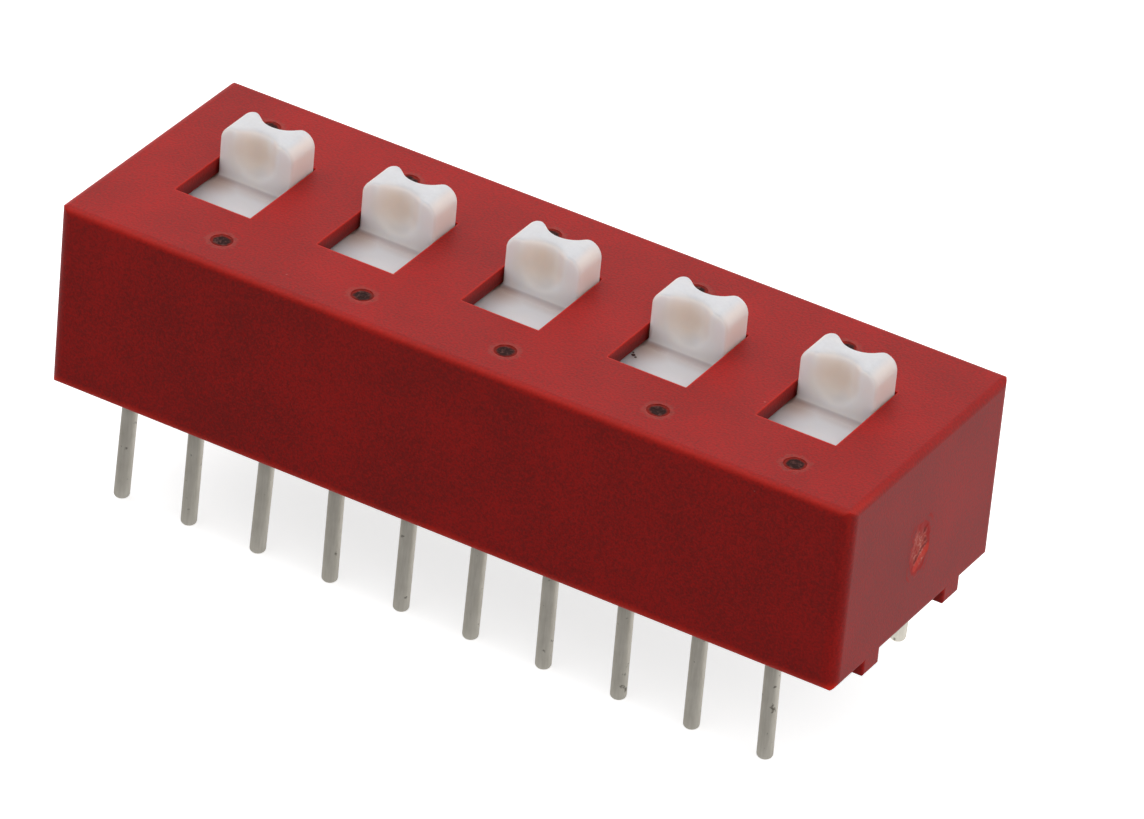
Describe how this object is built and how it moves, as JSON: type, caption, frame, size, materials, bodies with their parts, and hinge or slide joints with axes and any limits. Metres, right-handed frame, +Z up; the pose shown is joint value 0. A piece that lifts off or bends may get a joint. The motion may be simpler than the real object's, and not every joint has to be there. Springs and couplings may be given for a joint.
{
  "type": "dip switch",
  "caption": "Through-hole DIP switch with a red case, raised cupped white slides in windows and two rows of round pins.",
  "frame": {"origin": "middle of the pin grid on the plane the four feet stand on", "axes": "+X along the row of slides, +Y from the front row of pins to the back row, +Z up out of the windows; the pins point down"},
  "size_m": [0.0274, 0.0096, 0.0111],
  "materials": {
    "case_plastic": "fine matt moulded surface",
    "slide_plastic": "satin moulded surface",
    "base_plastic": "matt moulded surface",
    "seal_epoxy": "poured, glossy",
    "terminal_metal": "dull tin plate",
    "spring_steel": "drawn wire",
    "ball_plating": "polished gold plate"
  },
  "bodies": {
    "case": {"housing": "case_plastic", "terminal_base": "base_plastic", "epoxy_seal": "seal_epoxy", "terminal_front_1": "terminal_metal", "terminal_front_2": "terminal_metal", "terminal_front_3": "terminal_metal", "terminal_front_4": "terminal_metal", "terminal_front_5": "terminal_metal", "terminal_front_6": "terminal_metal", "terminal_front_7": "terminal_metal", "terminal_front_8": "terminal_metal", "terminal_front_9": "terminal_metal", "terminal_front_10": "terminal_metal", "terminal_back_1": "terminal_metal", "terminal_back_2": "terminal_metal", "terminal_back_3": "terminal_metal", "terminal_back_4": "terminal_metal", "terminal_back_5": "terminal_metal", "terminal_back_6": "terminal_metal", "terminal_back_7": "terminal_metal", "terminal_back_8": "terminal_metal", "terminal_back_9": "terminal_metal", "terminal_back_10": "terminal_metal"},
    "slider_1": {"slide_1": "slide_plastic", "spring_1_left": "spring_steel", "spring_1_right": "spring_steel", "contact_ball_1_left": "ball_plating", "contact_ball_1_right": "ball_plating"},
    "slider_2": {"slide_2": "slide_plastic", "spring_2_left": "spring_steel", "spring_2_right": "spring_steel", "contact_ball_2_left": "ball_plating", "contact_ball_2_right": "ball_plating"},
    "slider_3": {"slide_3": "slide_plastic", "spring_3_left": "spring_steel", "spring_3_right": "spring_steel", "contact_ball_3_left": "ball_plating", "contact_ball_3_right": "ball_plating"},
    "slider_4": {"slide_4": "slide_plastic", "spring_4_left": "spring_steel", "spring_4_right": "spring_steel", "contact_ball_4_left": "ball_plating", "contact_ball_4_right": "ball_plating"},
    "slider_5": {"slide_5": "slide_plastic", "spring_5_left": "spring_steel", "spring_5_right": "spring_steel", "contact_ball_5_left": "ball_plating", "contact_ball_5_right": "ball_plating"}
  },
  "joints": [
    {"name": "slide_1_travel", "type": "slide", "parent": "case", "child": "slider_1", "axis": [0, -1, 0], "range_m": [0, 0.0023]},
    {"name": "slide_2_travel", "type": "slide", "parent": "case", "child": "slider_2", "axis": [0, -1, 0], "range_m": [0, 0.0023]},
    {"name": "slide_3_travel", "type": "slide", "parent": "case", "child": "slider_3", "axis": [0, -1, 0], "range_m": [0, 0.0023]},
    {"name": "slide_4_travel", "type": "slide", "parent": "case", "child": "slider_4", "axis": [0, -1, 0], "range_m": [0, 0.0023]},
    {"name": "slide_5_travel", "type": "slide", "parent": "case", "child": "slider_5", "axis": [0, -1, 0], "range_m": [0, 0.0023]}
  ]
}
